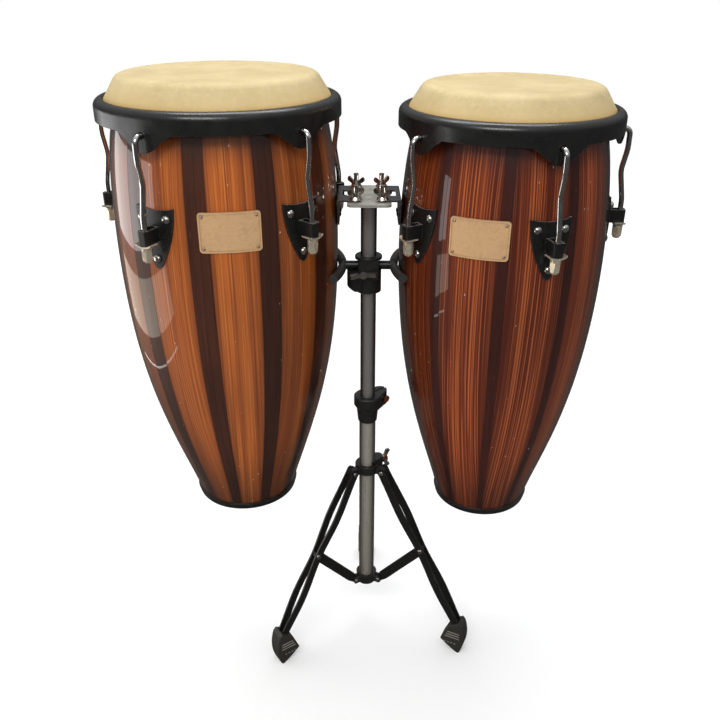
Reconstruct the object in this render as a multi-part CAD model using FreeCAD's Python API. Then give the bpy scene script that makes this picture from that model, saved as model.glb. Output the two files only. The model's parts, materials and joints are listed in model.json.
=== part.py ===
import FreeCAD, Part
import math
import os

# A pair of conga drums, 11 inch on the left and 10 inch on the right, carried side by side
# on one folding tripod stand. Millimetres, +Z up. The origin is on the floor on the axis of
# the stand's tube. +X points to the smaller drum, -Y points to the player's front view.
# An azimuth is an angle about +Z that is 0 at the front (-Y) and grows towards +X.

Vector = FreeCAD.Vector
UP = Vector(0, 0, 1)
ORIGIN = Vector(0, 0, 0)
INCH = 25.4

# ---- driving dimensions: drums ------------------------------------------------------------

DRUM_HEIGHT = 28 * INCH
STAVE_THICKNESS = 11.0
HEAD_THICKNESS = 1.8
BASE_RING_HEIGHT = 12.0
BASE_RING_THICKNESS = 3.0
RIM_TOP_DEPTH = 31.0          # rim's crown below the playing surface
RIM_SKIRT_DEPTH = 60.0        # rim's lower edge between its ears
RIM_EAR_DEPTH = 85.0          # rim's lower edge at an ear
RIM_EAR_HALF_ANGLE = 16.5     # degrees
RIM_SHEET = 3.0
RIM_WIDTH = 14.2              # radial width of the rim seen from above
RIM_CROWN_RADIUS = 11.0
HOOP_SIDE = 6.0
LUG_COUNT = 5
HOOK_HOLE_DEPTH = 62.0
HOOK_ROD_RADIUS = 5 / 16 * INCH / 2
HOOK_REACH = 15.0             # threaded rod's axis outside the rim's outer face
RUNNING_GAP = 0.06
LUG_LOOP_TOP = 183.0
LUG_LOOP_BOTTOM = 203.0
LUG_PLATE_TOP = 157.0
LUG_PLATE_TIP = 244.0
LUG_PLATE_HALF_WIDTH = 31.0
PLATE_THICKNESS = 3.0
BOLT_HEAD_RADIUS = 6.0
BOLT_SHANK_RADIUS = 3.0
LUG_BOLT_SEAT_GAP = 0.5       # the flat under a bolt's head against the sloping plate
BADGE_WIDTH = 85.0
BADGE_HEIGHT = 56.0
BADGE_DEPTH = 188.0           # badge's centre below the playing surface

DRUMS = {
    "left": dict(
        x=-218.0, top=1041.7, head_radius=5.5 * INCH, shoulder=166.0, belly=169.3,
        rim_radius=177.0, pairs=11, dark_angle=10.2, dark_phase=-5.0,
        first_lug=-26.0, badge_azimuth=10.0, arm_side=1),
    "right": dict(
        x=206.5, top=1026.4, head_radius=5.0 * INCH, shoulder=152.5, belly=158.6,
        rim_radius=164.0, pairs=10, dark_angle=7.5, dark_phase=-8.0,
        first_lug=-57.0, badge_azimuth=-21.0, arm_side=-1),
}

# shell outline below the belly: depth under the playing surface, share of the belly radius
SHOULDER_DEPTH = 130.0
BELLY_DEPTH = 230.0
LOWER_OUTLINE = ((330.0, 0.989), (430.0, 0.926), (540.0, 0.794), (640.0, 0.614), (711.2, 0.485))

# ---- driving dimensions: stand ------------------------------------------------------------

UPPER_TUBE_RADIUS = 1.0 * INCH / 2
LOWER_TUBE_RADIUS = 1.125 * INCH / 2
TUBE_WALL = 1.5
LOWER_TUBE_BOTTOM = 100.0
LOWER_TUBE_TOP = 491.0
UPPER_TUBE_BOTTOM = 300.0
TOP_PLATE_Z = 858.0
TOP_PLATE_THICKNESS = 4.0
TRIPOD_AZIMUTHS = {"front_left": -55.4, "front_right": 64.6, "rear": 180.4}
COLLAR_PIVOT = (32.0, 360.5)   # radius from the tube's axis, height
LEG_END = (189.0, 63.5)
LEG_MID_DISTANCE = 171.0       # collar pivot to brace pivot, along the leg
HUB_PIVOT = (27.0, 108.0)
STRIP_THICKNESS = 3.0
STRIP_DEPTH = 14.5
BRACE_DEPTH = 18.0
FOOT_WIDTH = 28.0
PIN_RADIUS = 3.0
CRADLE_Z = 748.5
CRADLE_ROD_RADIUS = 7.0
CRADLE_ARC_RADIUS = 4.5
GRIP_RADIUS = 7.0
GRIP_GAP = 0.6
STUD_X = 20.0
STUD_Y = 38.0
STUD_RADIUS = 4.0
STUD_HEIGHT = 24.0             # above the top plate
ARM_FLANGE_DROP = 43.0         # flange's lower edge below the arm's seat
ARM_BOLT_DROP = 27.0
ARM_BOLT_Y = (-10.0, 10.0)


# ---- small helpers ------------------------------------------------------------------------

def save(name, shapes):
    """Write one named node; a list becomes a group of separate solids."""
    solids = []
    for shape in shapes if isinstance(shapes, list) else [shapes]:
        solids += shape.Solids
    node = solids[0] if len(solids) == 1 else Part.makeCompound(solids)
    node.exportStep("parts/" + name + ".step")


def cylinder(radius, height, base=ORIGIN, axis=UP):
    return Part.makeCylinder(radius, height, base, axis)


def box(x0, x1, y0, y1, z0, z1):
    return Part.makeBox(x1 - x0, y1 - y0, z1 - z0, Vector(x0, y0, z0))


def turned(shape, azimuth):
    copy = shape.copy()
    copy.rotate(ORIGIN, UP, azimuth)
    return copy


def shifted(shape, x=0.0, y=0.0, z=0.0):
    copy = shape.copy()
    copy.translate(Vector(x, y, z))
    return copy


def at_front(radius, z, sideways=0.0):
    """A point in front of the axis: radius outward along -Y."""
    return Vector(sideways, -radius, z)


def arc(start, middle, end):
    return Part.Arc(start, middle, end).toShape()


def spline(points, first_tangent=None, last_tangent=None):
    curve = Part.BSplineCurve()
    if first_tangent is None:
        curve.interpolate(points)
    else:
        curve.interpolate(Points=points, InitialTangent=first_tangent, FinalTangent=last_tangent)
    return curve


def bent_rod(corners, bends, radius):
    """Round rod along a line of corners, each inner corner bent to its own radius."""
    edges = []
    start = corners[0]
    for k, bend in enumerate(bends):
        before = (corners[k] - corners[k + 1]).normalize()
        after = (corners[k + 2] - corners[k + 1]).normalize()
        half = before.getAngle(after) / 2
        reach = bend / math.tan(half)
        middle = corners[k + 1] + (before + after).normalize() * (bend / math.sin(half) - bend)
        first = corners[k + 1] + before * reach
        last = corners[k + 1] + after * reach
        edges.append(Part.LineSegment(start, first).toShape())
        edges.append(arc(first, middle, last))
        start = last
    edges.append(Part.LineSegment(start, corners[-1]).toShape())
    profile = Part.Wire(Part.Circle(corners[0], corners[1] - corners[0], radius).toShape())
    return Part.Wire(edges).makePipeShell([profile], True, False)


def face_of(edges):
    return Part.Face(Part.Wire(Part.__sortEdges__(edges)))


def polygon_face(points):
    return Part.Face(Part.makePolygon(points + [points[0]]))


def revolved(face, start=0.0, sweep=360.0):
    """Revolve a section drawn in the XZ half-plane about the Z axis."""
    return turned(face, start).revolve(ORIGIN, UP, sweep)


def ring(inner, outer, z0, z1):
    return cylinder(outer, z1 - z0, Vector(0, 0, z0)).cut(cylinder(inner, z1 - z0, Vector(0, 0, z0)))


def dome_bolt(head, shank, grip, height):
    """Round-head bolt along -Z from the origin: head above the seat, a square nut at its end."""
    cap = Part.makeSphere(head, ORIGIN, UP, 0, 90, 360)
    squash = FreeCAD.Matrix()
    squash.scale(1, 1, height / head)
    dome = cap.transformGeometry(squash)
    stem = cylinder(shank, grip + 6, Vector(0, 0, -grip - 6))
    nut_side = shank * 1.7
    nut = box(-nut_side, nut_side, -nut_side, nut_side, -grip - 5, -grip)
    return dome.fuse(stem).fuse(nut).removeSplitter()


def hexagon(across_flats, z0, z1):
    radius = across_flats / math.sqrt(3)
    corners = []
    for k in range(6):
        angle = math.radians(60 * k)
        corners.append(Vector(radius * math.cos(angle), radius * math.sin(angle), z0))
    return polygon_face(corners).extrude(Vector(0, 0, z1 - z0))


def wing(span, height, thickness, hub_radius, hub_height):
    """Wing nut or wing bolt head standing on z = 0, wings spread along X."""
    hub = cylinder(hub_radius, hub_height)
    wings = None
    for side in (1, -1):
        lower = Vector(side * hub_radius * 0.5, 0, hub_height * 0.15)
        tip_low = Vector(side * span * 0.36, 0, height * 0.42)
        tip = Vector(side * span / 2, 0, height * 0.80)
        tip_top = Vector(side * span * 0.40, 0, height)
        inner = Vector(side * hub_radius * 0.55, 0, hub_height * 0.95)
        outline = [
            Part.LineSegment(lower, tip_low).toShape(),
            arc(tip_low, tip, tip_top),
            Part.LineSegment(tip_top, inner).toShape(),
            Part.LineSegment(inner, lower).toShape()]
        blade = face_of(outline).extrude(Vector(0, thickness, 0))
        blade = shifted(blade, y=-thickness / 2)
        wings = blade if wings is None else wings.fuse(blade)
    return hub.fuse(wings).removeSplitter()


def aimed(shape, place, direction, roll=0.0):
    """Turn a shape that points along +Z so that it points along direction from place."""
    copy = shape.copy()
    if roll:
        copy.rotate(ORIGIN, UP, roll)
    copy.Placement = FreeCAD.Placement(place, FreeCAD.Rotation(UP, direction)).multiply(copy.Placement)
    return copy


# ---- drum shell ---------------------------------------------------------------------------

class Shell:
    """Outer profile of one drum, as radius against height."""

    def __init__(self, drum):
        self.drum = drum
        self.top = drum["top"]
        self.bottom = drum["top"] - DRUM_HEIGHT
        edge = drum["head_radius"] - 1.5
        points = [(edge, self.top - HEAD_THICKNESS - 6)]
        points.append((drum["shoulder"], self.top - SHOULDER_DEPTH))
        points.append((drum["belly"], self.top - BELLY_DEPTH))
        for depth, share in LOWER_OUTLINE:
            points.append((drum["belly"] * share, self.top - depth))
        self.points = points
        self.curve = spline([Vector(r, 0, z) for r, z in points])

    def radius(self, z):
        """Outer radius at a height, by stepping along the profile."""
        guess = self.drum["belly"]
        for _ in range(8):
            parameter = self.curve.parameter(Vector(guess, 0, z))
            point = self.curve.value(parameter)
            slope = self.curve.tangent(parameter)[0]
            guess = point.x + (z - point.z) * slope.x / slope.z
        return guess

    def offset_edge(self, offset, z0, z1, steps=6):
        points = []
        for k in range(steps + 1):
            z = z0 + (z1 - z0) * k / steps
            points.append(Vector(self.radius(z) + offset, 0, z))
        return spline(points).toShape()

    def skin(self, inner, outer, z0, z1, half_angle, azimuth=0.0):
        """A curved sheet that lies on the shell, centred at the front."""
        inside = self.offset_edge(inner, z0, z1)
        outside = self.offset_edge(outer, z0, z1)
        edges = [inside, outside]
        for k in (0, 1):
            edges.append(Part.LineSegment(inside.Vertexes[k].Point, outside.Vertexes[k].Point).toShape())
        return revolved(face_of(edges), -90 - half_angle + azimuth, 2 * half_angle)


def stave_section(shell):
    """Section of one stave: shell outline, rounded bearing edge, offset inside."""
    top = shell.top - HEAD_THICKNESS
    edge = shell.drum["head_radius"] - 1.5
    outer = shell.curve.toShape()
    inner_points = [Vector(r - STAVE_THICKNESS, 0, z) for r, z in shell.points]
    foot = shell.bottom + BASE_RING_THICKNESS
    inner_points[0] = Vector(edge - STAVE_THICKNESS, 0, top - 14)
    inner = spline(inner_points).toShape()
    crest = Vector(edge - 5, 0, top - 0.05)
    bend = Vector(edge - 1.3, 0, top - 2)
    edges = [
        outer,
        arc(shell.curve.StartPoint, bend, crest),
        Part.LineSegment(crest, inner_points[0]).toShape(),
        inner,
        Part.LineSegment(inner_points[-1], shell.curve.EndPoint).toShape()]
    section = face_of(edges)
    below = polygon_face([Vector(0, 0, foot), Vector(300, 0, foot), Vector(300, 0, 0), Vector(0, 0, 0)])
    return section.cut(below).Faces[0]


BORE_HALF_ANGLE = 1.6         # degrees that a bolt hole takes up on the shell


def staves(shell, bores):
    """Light and dark staves side by side, bored for the bolts that pass through them."""
    drum = shell.drum
    pitch = 360.0 / drum["pairs"]
    section = stave_section(shell)
    solids = []
    for k in range(drum["pairs"]):
        middle = drum["dark_phase"] + k * pitch
        dark_start = middle - drum["dark_angle"] / 2
        light_start = middle + drum["dark_angle"] / 2
        for start, sweep in ((dark_start, drum["dark_angle"]), (light_start, pitch - drum["dark_angle"])):
            stave = revolved(section, start - 90, sweep)
            centre = start + sweep / 2
            for azimuth, bore in bores:
                apart = abs((azimuth - centre + 180) % 360 - 180)
                if apart < sweep / 2 + BORE_HALF_ANGLE:
                    stave = stave.cut(bore)
            solids.append(stave)
    return solids


def base_ring(shell):
    """Steel band around the foot of the shell with a lip under the staves."""
    low = shell.bottom
    high = low + BASE_RING_HEIGHT
    inner_low = shell.radius(low + BASE_RING_THICKNESS) + 0.1
    inner_high = shell.radius(high) + 0.1
    points = [
        Vector(inner_low - STAVE_THICKNESS - 2, 0, low),
        Vector(inner_low + BASE_RING_THICKNESS - 1, 0, low),
        Vector(inner_low + BASE_RING_THICKNESS, 0, low + 1.5),
        Vector(inner_high + BASE_RING_THICKNESS, 0, high - 1),
        Vector(inner_high, 0, high),
        Vector(inner_low, 0, low + BASE_RING_THICKNESS),
        Vector(inner_low - STAVE_THICKNESS - 2, 0, low + BASE_RING_THICKNESS)]
    return revolved(polygon_face(points))


# ---- head, flesh hoop and rim -------------------------------------------------------------

def collar_radius(drum):
    """Outer radius of the skin where it passes inside the rim."""
    return drum["rim_radius"] - RIM_WIDTH - 0.4


def head(shell):
    """Stretched skin: flat playing surface, rounded bearing edge, collar, tuck under the hoop."""
    drum = shell.drum
    top = shell.top
    edge = drum["head_radius"]
    collar = collar_radius(drum)
    tuck = top - RIM_TOP_DEPTH - 15 - HOOP_SIDE
    t = HEAD_THICKNESS
    outer = spline(
        [Vector(edge - 7, 0, top), Vector(edge + 0.5, 0, top - 3.2), Vector(edge + 9, 0, top - 12),
         Vector(collar, 0, top - RIM_TOP_DEPTH - 2)],
        Vector(1, 0, 0), Vector(0, 0, -1)).toShape()
    inner = spline(
        [Vector(edge - 7, 0, top - t), Vector(edge - 1, 0, top - t - 2.6),
         Vector(edge + 7.4, 0, top - t - 11.2), Vector(collar - t, 0, top - RIM_TOP_DEPTH - 2)],
        Vector(1, 0, 0), Vector(0, 0, -1)).toShape()
    path = [
        Vector(collar, 0, top - RIM_TOP_DEPTH - 2),
        Vector(collar, 0, tuck - 0.3),
        Vector(collar + HOOP_SIDE, 0, tuck - 0.3),
        Vector(collar + HOOP_SIDE, 0, tuck - 0.3 - t),
        Vector(collar - t, 0, tuck - 0.3 - t),
        Vector(collar - t, 0, top - RIM_TOP_DEPTH - 2)]
    edges = [outer, inner]
    for a, b in zip(path, path[1:]):
        edges.append(Part.LineSegment(a, b).toShape())
    disc = [
        Vector(edge - 7, 0, top - t), Vector(0, 0, top - t), Vector(0, 0, top), Vector(edge - 7, 0, top)]
    for a, b in zip(disc, disc[1:]):
        edges.append(Part.LineSegment(a, b).toShape())
    return revolved(face_of(edges))


def flesh_hoop(shell):
    drum = shell.drum
    high = shell.top - RIM_TOP_DEPTH - 15
    inside = collar_radius(drum) + 0.1
    return ring(inside, inside + HOOP_SIDE - 0.4, high - HOOP_SIDE, high)


def rim(shell):
    """Curved counterhoop: inner wall on the flesh hoop, rounded crown, skirt with five ears."""
    drum = shell.drum
    top = shell.top
    outside = drum["rim_radius"]
    inside = outside - RIM_WIDTH
    crown = top - RIM_TOP_DEPTH
    wall_end = crown - 14.7
    skirt_end = top - RIM_SKIRT_DEPTH
    t = RIM_SHEET
    big = RIM_CROWN_RADIUS
    small = big - t
    corner = outside - big
    diagonal = math.sqrt(0.5)
    outer_arc = arc(
        Vector(corner, 0, crown),
        Vector(corner + big * diagonal, 0, crown - big * (1 - diagonal)),
        Vector(outside, 0, crown - big))
    inner_arc = arc(
        Vector(corner, 0, crown - t),
        Vector(corner + small * diagonal, 0, crown - t - small * (1 - diagonal)),
        Vector(outside - t, 0, crown - big))
    outer_path = [
        Vector(corner, 0, crown), Vector(inside + 2, 0, crown), Vector(inside, 0, crown - 2),
        Vector(inside, 0, wall_end), Vector(inside + t, 0, wall_end), Vector(inside + t, 0, crown - t)]
    edges = [outer_arc, inner_arc]
    for a, b in zip(outer_path, outer_path[1:]):
        edges.append(Part.LineSegment(a, b).toShape())
    if corner - inside - t > 1e-6:
        edges.append(Part.LineSegment(outer_path[-1], Vector(corner, 0, crown - t)).toShape())
    skirt = [
        Vector(outside, 0, crown - big), Vector(outside, 0, skirt_end),
        Vector(outside - t, 0, skirt_end), Vector(outside - t, 0, crown - big)]
    for a, b in zip(skirt, skirt[1:]):
        edges.append(Part.LineSegment(a, b).toShape())
    body = revolved(face_of(edges))
    for k in range(LUG_COUNT):
        body = body.fuse(turned(rim_ear(shell), drum["first_lug"] + 360 / LUG_COUNT * k))
    body = body.removeSplitter()
    for k in range(LUG_COUNT):
        hole = cylinder(
            HOOK_ROD_RADIUS + 1.0, 30, at_front(outside - 20, top - HOOK_HOLE_DEPTH), Vector(0, -1, 0))
        body = body.cut(turned(hole, drum["first_lug"] + 360 / LUG_COUNT * k))
    return body


def rim_ear(shell):
    """One rounded ear: a cosine wave hanging from the skirt."""
    outside = shell.drum["rim_radius"]
    high = shell.top - RIM_SKIRT_DEPTH
    drop = RIM_EAR_DEPTH - RIM_SKIRT_DEPTH
    half = outside * math.sin(math.radians(RIM_EAR_HALF_ANGLE))
    wave = []
    steps = 12
    for k in range(steps + 1):
        x = half * (2 * k / steps - 1)
        z = high - drop * (0.5 + 0.5 * math.cos(math.pi * x / half))
        wave.append(at_front(outside - 20, z, x))
    along = Vector(1, 0, 0)
    edges = [spline(wave, along, along).toShape(), Part.LineSegment(wave[-1], wave[0]).toShape()]
    prism = face_of(edges).extrude(Vector(0, -40, 0))
    return prism.common(ring(outside - RIM_SHEET, outside, high - drop, high))


# ---- tension hooks, lugs, badge -----------------------------------------------------------

def rod_radius_of(drum):
    return drum["rim_radius"] + HOOK_REACH


def hook(shell):
    """Tension hook: through the ear, over, down, an S-bend, then the straight threaded end."""
    drum = shell.drum
    top = shell.top
    outside = drum["rim_radius"]
    rod = rod_radius_of(drum)
    hole = top - HOOK_HOLE_DEPTH
    corners = [
        at_front(outside - 7, hole), at_front(outside + 12.2, hole), at_front(outside + 12.8, top - 92),
        at_front(outside + 7.2, top - 124), at_front(rod, top - 168),
        at_front(rod, top - LUG_LOOP_BOTTOM - 20)]
    return bent_rod(corners, (9.5, 70.0, 45.0, 60.0), HOOK_ROD_RADIUS)


def lug_plate(shell):
    """Shield-shaped plate bent to the shell with a welded strap loop for the hook's rod."""
    drum = shell.drum
    top = shell.top
    high = top - LUG_PLATE_TOP
    tip = top - LUG_PLATE_TIP
    side = LUG_PLATE_HALF_WIDTH
    outline = [arc(Vector(-side, 0, high), Vector(0, 0, high - 4), Vector(side, 0, high))]
    for s in (1, -1):
        shoulder = Vector(s * side, 0, high)
        knee = Vector(s * side * 0.74, 0, high - 48)
        end = Vector(s * 4, 0, tip + 1.5)
        outline.append(arc(shoulder, knee, end))
    outline.append(arc(Vector(4, 0, tip + 1.5), Vector(0, 0, tip), Vector(-4, 0, tip + 1.5)))
    prism = face_of(outline).extrude(Vector(0, -260, 0))
    sheet = shell.skin(0.05, PLATE_THICKNESS, tip - 2, high + 2, 14)
    plate = sheet.common(prism)
    loop = lug_loop(shell)
    solid = plate.fuse(loop).removeSplitter()
    for bolt_x, bolt_z in lug_bolt_places(shell):
        hole = cylinder(BOLT_SHANK_RADIUS + 0.1, 300, Vector(0, 0, bolt_z), Vector(0, -1, 0))
        solid = solid.cut(turned(hole, math.degrees(math.asin(bolt_x / shell.radius(bolt_z)))))
    return solid


def lug_loop(shell):
    drum = shell.drum
    top = shell.top
    rod = rod_radius_of(drum)
    wall = 3.0
    inner = HOOK_ROD_RADIUS + 0.6
    outer = inner + wall
    seat = shell.radius(top - LUG_LOOP_TOP) + 1.0
    low = top - LUG_LOOP_BOTTOM
    high = top - LUG_LOOP_TOP
    block = box(-outer, outer, -rod - outer, -seat, low, high)
    fronts = []
    for edge in block.Edges:
        middle = edge.CenterOfMass
        if abs(middle.y + rod + outer) < 1e-6 and abs(middle.z - (low + high) / 2) < 1e-6:
            fronts.append(edge)
    block = block.makeFillet(3.5, fronts)
    cavity = box(-inner, inner, -rod - inner, -seat - 3.0, low - 1, high + 1)
    strap = block.cut(cavity)
    return strap.cut(shell.skin(-30, 0.05, low - 3, high + 3, 10))


def lug_bolt_places(shell):
    top = shell.top
    return ((-20.0, top - 172), (20.0, top - 172), (0.0, top - 229.5))


def shell_bolt(shell, x, z, seat_offset, head_radius=BOLT_HEAD_RADIUS, height=4.5):
    """Round-head bolt through the shell at a sideways offset and height, in front."""
    radius = shell.radius(z)
    azimuth = math.degrees(math.asin(x / radius))
    bolt = dome_bolt(head_radius, BOLT_SHANK_RADIUS, STAVE_THICKNESS + seat_offset + 0.6, height)
    placed = aimed(bolt, at_front(radius + seat_offset, z), Vector(0, -1, 0))
    return turned(placed, azimuth)


def saddle_washer(shell):
    """Washer curved upward at both ends, pressed against the underside of the loop."""
    drum = shell.drum
    rod = rod_radius_of(drum)
    high = shell.top - LUG_LOOP_BOTTOM - 0.2
    edges = []
    for drop in (0.0, 2.4):
        low_z = high - 1.4 - drop
        edges.append(arc(
            Vector(-13, 0, high + 2.2 - drop), Vector(0, 0, low_z), Vector(13, 0, high + 2.2 - drop)))
    for x in (-13, 13):
        edges.append(Part.LineSegment(Vector(x, 0, high + 2.2), Vector(x, 0, high - 0.2)).toShape())
    plate = face_of(edges).extrude(Vector(0, -16, 0))
    plate = shifted(plate, y=-rod + 8)
    bore = cylinder(HOOK_ROD_RADIUS + 0.5, 20, at_front(rod, high - 10))
    return plate.cut(bore)


def tuning_nut(shell):
    """Long hexagonal nut with a round collar and a domed end, on the hook's thread."""
    drum = shell.drum
    rod = rod_radius_of(drum)
    high = shell.top - LUG_LOOP_BOTTOM - 4.1
    collar = cylinder(7.6, 4, Vector(0, 0, -4))
    body = hexagon(13.5, -18, -4).common(Part.makeCone(7.0, 8.2, 14, Vector(0, 0, -18)))
    dome = Part.makeCone(4.8, 6.6, 3, Vector(0, 0, -21))
    nut = collar.fuse(body).fuse(dome).removeSplitter()
    nut = nut.cut(cylinder(HOOK_ROD_RADIUS + RUNNING_GAP, 30, Vector(0, 0, -25)))
    return shifted(nut, y=-rod, z=high)


def badge(shell):
    """Blank plate bent to the shell, with a raised border and a pin in each corner."""
    drum = shell.drum
    middle = shell.top - BADGE_DEPTH
    half_height = BADGE_HEIGHT / 2
    half_angle = math.degrees(BADGE_WIDTH / 2 / drum["belly"])
    low = middle - half_height
    high = middle + half_height
    sheet = rounded_sheet(shell, 0.05, 1.6, low, high, BADGE_WIDTH / 2, half_angle, 5.0)
    border = rounded_sheet(shell, 1.5, 2.6, low, high, BADGE_WIDTH / 2, half_angle, 5.0)
    field = rounded_sheet(
        shell, 1.0, 4.0, low + 2.5, high - 2.5, BADGE_WIDTH / 2 - 2.5, half_angle, 3.5)
    plate = sheet.fuse(border.cut(field)).removeSplitter()
    pins = []
    for side in (1, -1):
        for z in (low + 6.0, high - 6.0):
            x = side * (BADGE_WIDTH / 2 - 6.5)
            radius = shell.radius(z)
            pin = Part.makeSphere(2.0, ORIGIN, UP, 0, 90, 360)
            pin = aimed(pin, at_front(radius + 1.65, z), Vector(0, -1, 0))
            pins.append(turned(pin, math.degrees(math.asin(x / radius))))
    return [plate] + pins


def rounded_sheet(shell, inner, outer, low, high, half_width, half_angle, corner):
    """A sheet on the shell with a rounded rectangular outline."""
    sheet = shell.skin(inner, outer, low, high, half_angle + 2)
    block = box(-half_width, half_width, -260, -60, low, high)
    uprights = [e for e in block.Edges if abs(e.tangentAt(e.FirstParameter).y) > 0.9]
    return sheet.common(block.makeFillet(corner, uprights))


# ---- arm bracket between a drum and the stand's top plate ---------------------------------

def arm(shell):
    """Angle bracket: windowed plate with two open slots for the studs, flange on the shell."""
    drum = shell.drum
    side = -drum["arm_side"]                  # the drum is on this side of the stand
    seat = TOP_PLATE_Z + TOP_PLATE_THICKNESS + 0.1
    plate_top = seat + PLATE_THICKNESS
    flange_low = seat - ARM_FLANGE_DROP
    reach = shell_face_x(shell) - 0.4
    half = 44.0
    plate = box(13, reach, -half, half, seat, plate_top)
    for stud_y in (STUD_Y, -STUD_Y):
        slot_half = STUD_RADIUS + 0.5
        slot = box(0, STUD_X, stud_y - slot_half, stud_y + slot_half, seat - 1, plate_top + 1)
        slot = slot.fuse(cylinder(slot_half, 10, Vector(STUD_X, stud_y, seat - 2)))
        plate = plate.cut(slot)
    window = box(26, 41, -17, 17, seat - 1, plate_top + 1)
    plate = plate.cut(window)
    flange_outline = [
        Vector(reach, -half, plate_top), Vector(reach, half, plate_top), Vector(reach, half, seat - 4),
        Vector(reach, 20, flange_low + 4), Vector(reach, 16, flange_low),
        Vector(reach, -16, flange_low), Vector(reach, -20, flange_low + 4), Vector(reach, -half, seat - 4)]
    flange = polygon_face(flange_outline).extrude(Vector(-PLATE_THICKNESS, 0, 0))
    bracket = plate.fuse(flange).removeSplitter()
    outer_bend = []
    for edge in bracket.Edges:
        middle = edge.CenterOfMass
        if abs(middle.x - reach) < 1e-3 and abs(middle.z - plate_top) < 1e-3:
            outer_bend.append(edge)
    bracket = bracket.makeFillet(2.5, outer_bend)
    for y in ARM_BOLT_Y:
        hole = cylinder(BOLT_SHANK_RADIUS + 0.1, 80, Vector(20, y, seat - ARM_BOLT_DROP), Vector(1, 0, 0))
        bracket = bracket.cut(hole)
    return bracket if side > 0 else turned(bracket, 180)


def shell_face_x(shell):
    """Distance from the stand's axis to the nearest shell surface behind the arm's flange."""
    seat = TOP_PLATE_Z + TOP_PLATE_THICKNESS
    widest = max(shell.radius(seat - ARM_FLANGE_DROP), shell.radius(seat))
    return abs(shell.drum["x"]) - widest


def arm_bolts(shell):
    """Two round-head bolts through the flange and the shell, in the drum's own frame."""
    drum = shell.drum
    z = TOP_PLATE_Z + TOP_PLATE_THICKNESS + 0.1 - ARM_BOLT_DROP
    outward = abs(drum["x"]) - (shell_face_x(shell) - 0.4) + PLATE_THICKNESS
    bolts = []
    for y in ARM_BOLT_Y:
        bolt = dome_bolt(5.0, BOLT_SHANK_RADIUS, STAVE_THICKNESS + 6, 3.0)
        placed = aimed(bolt, Vector(drum["arm_side"] * outward, y, z), Vector(drum["arm_side"], 0, 0))
        bolts.append(placed)
    return bolts


# ---- one complete drum --------------------------------------------------------------------

def build_drum(name):
    drum = DRUMS[name]
    shell = Shell(drum)
    lug_azimuths = [drum["first_lug"] + 360 / LUG_COUNT * k for k in range(LUG_COUNT)]

    fasteners = []
    bores = []
    for azimuth in lug_azimuths:
        for x, z in lug_bolt_places(shell):
            fasteners.append(turned(shell_bolt(shell, x, z, PLATE_THICKNESS + LUG_BOLT_SEAT_GAP), azimuth))
            radius = shell.radius(z)
            bore = cylinder(
                BOLT_SHANK_RADIUS + 0.1, 40, at_front(radius + 10, z), Vector(0, 1, 0))
            bore_azimuth = azimuth + math.degrees(math.asin(x / radius))
            bores.append((bore_azimuth, turned(bore, bore_azimuth)))
    arm_bolt_z = TOP_PLATE_Z + TOP_PLATE_THICKNESS + 0.1 - ARM_BOLT_DROP
    for y in ARM_BOLT_Y:
        start = Vector(drum["arm_side"] * 120, y, arm_bolt_z)
        bore = cylinder(BOLT_SHANK_RADIUS + 0.1, 120, start, Vector(drum["arm_side"], 0, 0))
        bore_azimuth = math.degrees(math.atan2(drum["arm_side"] * drum["belly"], -y))
        bores.append((bore_azimuth, bore))

    plates = [turned(lug_plate(shell), azimuth) for azimuth in lug_azimuths]
    for azimuth in lug_azimuths:
        fasteners.append(turned(saddle_washer(shell), azimuth))
    hooks = [turned(hook(shell), azimuth) for azimuth in lug_azimuths]

    pieces = {
        "shell_staves": staves(shell, bores),
        "base_ring": [base_ring(shell)],
        "head": [head(shell)],
        "flesh_hoop": [flesh_hoop(shell)],
        "rim": [rim(shell)],
        "hooks": hooks,
        "lug_plates": plates,
        "shell_bolts": fasteners,
        "arm_bolts": arm_bolts(shell),
        "badge": [turned(piece, drum["badge_azimuth"]) for piece in badge(shell)],
    }
    for k, azimuth in enumerate(lug_azimuths):
        pieces["tuning_nut_" + str(k + 1)] = [turned(tuning_nut(shell), azimuth)]
    for piece, shapes in pieces.items():
        save(name + "_" + piece, [shifted(shape, x=drum["x"]) for shape in shapes])
    save(name + "_arm", arm(shell))
    return shell


# ---- stand: tubes and castings ------------------------------------------------------------

def lower_tube():
    return ring(LOWER_TUBE_RADIUS - TUBE_WALL, LOWER_TUBE_RADIUS, LOWER_TUBE_BOTTOM, LOWER_TUBE_TOP)


def upper_tube():
    return ring(UPPER_TUBE_RADIUS - TUBE_WALL, UPPER_TUBE_RADIUS, UPPER_TUBE_BOTTOM, TOP_PLATE_Z)


def top_plate():
    """Rounded plate welded to the tube, with four upright studs."""
    low = TOP_PLATE_Z
    high = TOP_PLATE_Z + TOP_PLATE_THICKNESS
    plate = box(-33, 33, -59, 59, low, high)
    uprights = [e for e in plate.Edges if abs(e.tangentAt(e.FirstParameter).z) > 0.9]
    plate = plate.makeFillet(8, uprights)
    for x in (STUD_X, -STUD_X):
        for y in (STUD_Y, -STUD_Y):
            plate = plate.cut(cylinder(STUD_RADIUS, 20, Vector(x, y, low - 5)))
    return plate


def stud(x, y):
    """Stud with a flat head under the top plate."""
    low = TOP_PLATE_Z
    stem = cylinder(STUD_RADIUS, TOP_PLATE_THICKNESS + STUD_HEIGHT, Vector(x, y, low))
    flat_head = cylinder(7, 3, Vector(x, y, low - 3))
    return flat_head.fuse(stem).removeSplitter()


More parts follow.
